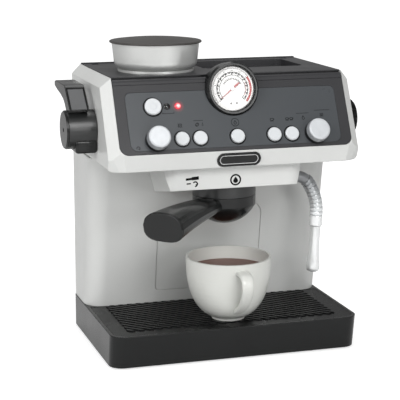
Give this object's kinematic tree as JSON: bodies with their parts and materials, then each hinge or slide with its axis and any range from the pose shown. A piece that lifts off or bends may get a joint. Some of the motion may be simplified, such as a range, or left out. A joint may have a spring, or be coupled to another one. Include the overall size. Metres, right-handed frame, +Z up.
{
  "type": "toy coffee maker",
  "caption": "Toy espresso machine with hopper, gauge, buttons, knobs, turning portafilter, steam wand, side lever, drip tray and cup.",
  "frame": {"origin": "under the middle of the bounding box, on the table plane that the rubber feet stand on", "axes": "+Z up; the front with the control panel faces -Y; +X is the machine's right as seen from the front"},
  "size_m": [0.2834, 0.1992, 0.2942],
  "materials": {
    "ivory_plastic": "satin off-white moulded ABS housing",
    "graphite_plastic": "fine-grained dark grey moulded ABS",
    "slate_panel": "lighter grey satin inlay",
    "black_gloss": "glossy black moulded ABS",
    "black_satin": "satin black moulded ABS",
    "silver_paint": "satin silver lacquer over plastic",
    "grey_sleeve": "metallic grey moulded sleeve",
    "lid_plastic": "warm dark grey satin plastic",
    "white_button": "white glossy button plastic",
    "cup_white": "smooth white plastic",
    "coffee_brown": "glossy brown moulded insert",
    "dial_print": "white printed dial",
    "needle_red": "red moulded needle",
    "clear_lens": "clear moulded lens",
    "lamp_red": "red lamp lens",
    "lamp_dark": "unlit dark lamp lens",
    "foot_rubber": "soft dark rubber",
    "board_green": "green lacquered circuit board",
    "keypad_rubber": "silicone rubber",
    "steel": "zinc-plated steel",
    "cell_wrap": "plain printed battery sleeve"
  },
  "bodies": {
    "machine": {"base_shell": "black_gloss", "base_bottom": "black_satin", "rubber_feet": "foot_rubber", "column_front": "ivory_plastic", "splash_panel": "ivory_plastic", "back_cover": "ivory_plastic", "head_housing": "ivory_plastic", "fascia": "graphite_plastic", "control_panel": "slate_panel", "top_cover": "graphite_plastic", "hopper_bowl": "silver_paint", "gauge_case": "black_gloss", "gauge_dial": "dial_print", "gauge_lens": "clear_lens", "power_lamp": "lamp_red", "spare_lamp": "lamp_dark", "badge_plate": "black_gloss", "brow_block": "ivory_plastic", "group_head": "black_gloss", "circuit_board": "board_green", "keypad": "keypad_rubber", "board_screws": "steel", "speaker": "black_satin", "battery_box": "black_satin", "batteries": "cell_wrap", "battery_contacts": "steel", "battery_door": "black_satin", "door_screw": "steel", "housing_screws": "steel", "base_screws": "steel"},
    "drip_tray": {"drip_plate": "black_gloss"},
    "cup_set": {"cup": "cup_white", "coffee_insert": "coffee_brown"},
    "lid": {"hopper_lid": "lid_plastic"},
    "needle": {"gauge_needle": "needle_red"},
    "btn_power": {"power_button": "white_button"},
    "btn_steam": {"steam_button": "white_button"},
    "btn_bean": {"bean_button": "white_button"},
    "btn_cup": {"cup_button": "white_button"},
    "btn_single": {"single_button": "white_button"},
    "btn_double": {"double_button": "white_button"},
    "knob_left": {"left_knob": "silver_paint"},
    "knob_right": {"right_knob": "silver_paint"},
    "portafilter": {"portafilter_bowl": "black_gloss", "portafilter_handle": "black_gloss", "handle_cap": "black_gloss"},
    "wand": {"wand_elbow": "grey_sleeve", "wand_sleeve": "grey_sleeve", "wand_pipe": "silver_paint"},
    "lever": {"tamping_lever": "black_gloss", "lever_cap": "black_gloss", "lever_axle": "steel"},
    "steam_valve": {"steam_knob": "black_gloss", "steam_axle": "steel"}
  },
  "joints": [
    {"name": "tray_lift", "type": "slide", "parent": "machine", "child": "drip_tray", "axis": [0, -0.1736, 0.9848], "range_m": [0, 0.012]},
    {"name": "cup_lift", "type": "slide", "parent": "drip_tray", "child": "cup_set", "axis": [0, 0, 1], "range_m": [0, 0.02]},
    {"name": "lid_lift", "type": "slide", "parent": "machine", "child": "lid", "axis": [0, 0, 1], "range_m": [0, 0.03]},
    {"name": "needle_turn", "type": "hinge", "parent": "machine", "child": "needle", "pos_m": [0.00615, -0.04034, 0.2514], "axis": [0, -0.9857, 0.1685], "range_deg": [-180, 0]},
    {"name": "press_power", "type": "slide", "parent": "machine", "child": "btn_power", "axis": [0, 0.8957, -0.4446], "range_m": [0, 0.0015], "stiffness_N_per_m": 500},
    {"name": "press_steam", "type": "slide", "parent": "machine", "child": "btn_steam", "axis": [0, 0.8957, -0.4446], "range_m": [0, 0.0015], "stiffness_N_per_m": 500},
    {"name": "press_bean", "type": "slide", "parent": "machine", "child": "btn_bean", "axis": [0, 0.8957, -0.4446], "range_m": [0, 0.0015], "stiffness_N_per_m": 500},
    {"name": "press_cup", "type": "slide", "parent": "machine", "child": "btn_cup", "axis": [0, 0.8957, -0.4446], "range_m": [0, 0.0015], "stiffness_N_per_m": 500},
    {"name": "press_single", "type": "slide", "parent": "machine", "child": "btn_single", "axis": [0, 0.8957, -0.4446], "range_m": [0, 0.0015], "stiffness_N_per_m": 500},
    {"name": "press_double", "type": "slide", "parent": "machine", "child": "btn_double", "axis": [0, 0.8957, -0.4446], "range_m": [0, 0.0015], "stiffness_N_per_m": 500},
    {"name": "turn_left", "type": "hinge", "parent": "machine", "child": "knob_left", "pos_m": [-0.06935, -0.05265, 0.20947], "axis": [0, -0.8957, 0.4446], "range_deg": [-135, 135]},
    {"name": "turn_right", "type": "hinge", "parent": "machine", "child": "knob_right", "pos_m": [0.08165, -0.05265, 0.20947], "axis": [0, -0.8957, 0.4446], "range_deg": [-135, 135]},
    {"name": "portafilter_turn", "type": "hinge", "parent": "machine", "child": "portafilter", "pos_m": [0.00615, -0.01345, 0.142], "axis": [0, 0, 1], "range_deg": [-25, 0]},
    {"name": "wand_swing", "type": "hinge", "parent": "machine", "child": "wand", "pos_m": [0.06615, -0.01044, 0.161], "axis": [1, 0, 0], "range_deg": [-40, 15]},
    {"name": "lever_swing", "type": "hinge", "parent": "machine", "child": "lever", "pos_m": [-0.11335, 0.00556, 0.2134], "axis": [1, 0, 0], "range_deg": [0, 60]},
    {"name": "steam_turn", "type": "hinge", "parent": "machine", "child": "steam_valve", "pos_m": [0.12565, 0.00556, 0.2134], "axis": [1, 0, 0], "range_deg": [0, 180]}
  ]
}
